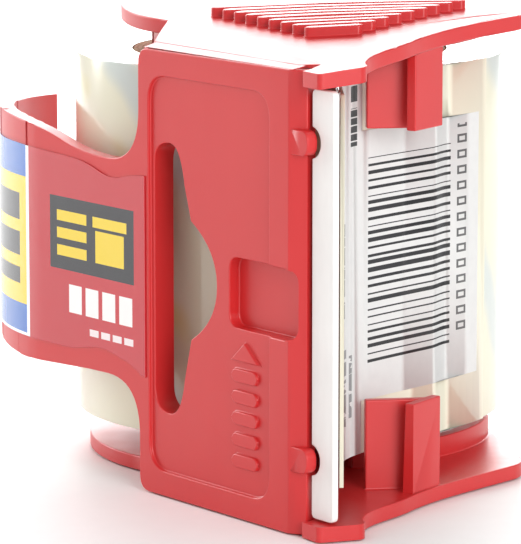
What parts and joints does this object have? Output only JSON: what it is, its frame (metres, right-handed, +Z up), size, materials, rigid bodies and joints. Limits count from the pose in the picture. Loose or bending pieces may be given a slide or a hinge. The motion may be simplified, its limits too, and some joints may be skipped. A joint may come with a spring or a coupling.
{
  "type": "packing tape dispenser",
  "caption": "Hand dispenser for packing tape: a red plastic shell with two cheeks, a hang slot and a curved label tongue holds a roll of clear tape on a hub, with a toothed blade at the nose.",
  "frame": {"origin": "middle of the footprint, on the plane that the lower cheek stands on", "axes": "+Z up along the roll's axis, +X along the front panel from the label tongue to the nose, +Y from the panel to the roll"},
  "size_m": [0.092, 0.0624, 0.0619],
  "materials": {
    "red": "satin moulded polypropylene",
    "guard_card": "coated white card",
    "blade_steel": "ground strip steel",
    "core_board": "wound brown paperboard",
    "clear_tape": "layers of clear film, pale straw",
    "leader_tape": "clear film",
    "printed_film": "printed gloss film",
    "label_paper": "printed white paper"
  },
  "bodies": {
    "dispenser": {"front_shell": "red", "lower_cheek": "red", "upper_cheek": "red", "lower_hub": "red", "upper_hub": "red", "lower_tape_guide": "red", "upper_tape_guide": "red", "lower_roll_rest": "red", "upper_roll_rest": "red", "blade_guard": "guard_card", "cutter_blade": "blade_steel", "tape_leader": "leader_tape", "front_label": "printed_film", "barcode_label": "label_paper"},
    "roll": {"tape_core": "core_board", "tape_winding": "clear_tape"}
  },
  "joints": [
    {"name": "roll_spin", "type": "hinge", "parent": "dispenser", "child": "roll", "pos_m": [-0.00461, 0.00255, 0.0285], "axis": [0, 0, 1], "continuous": true}
  ]
}
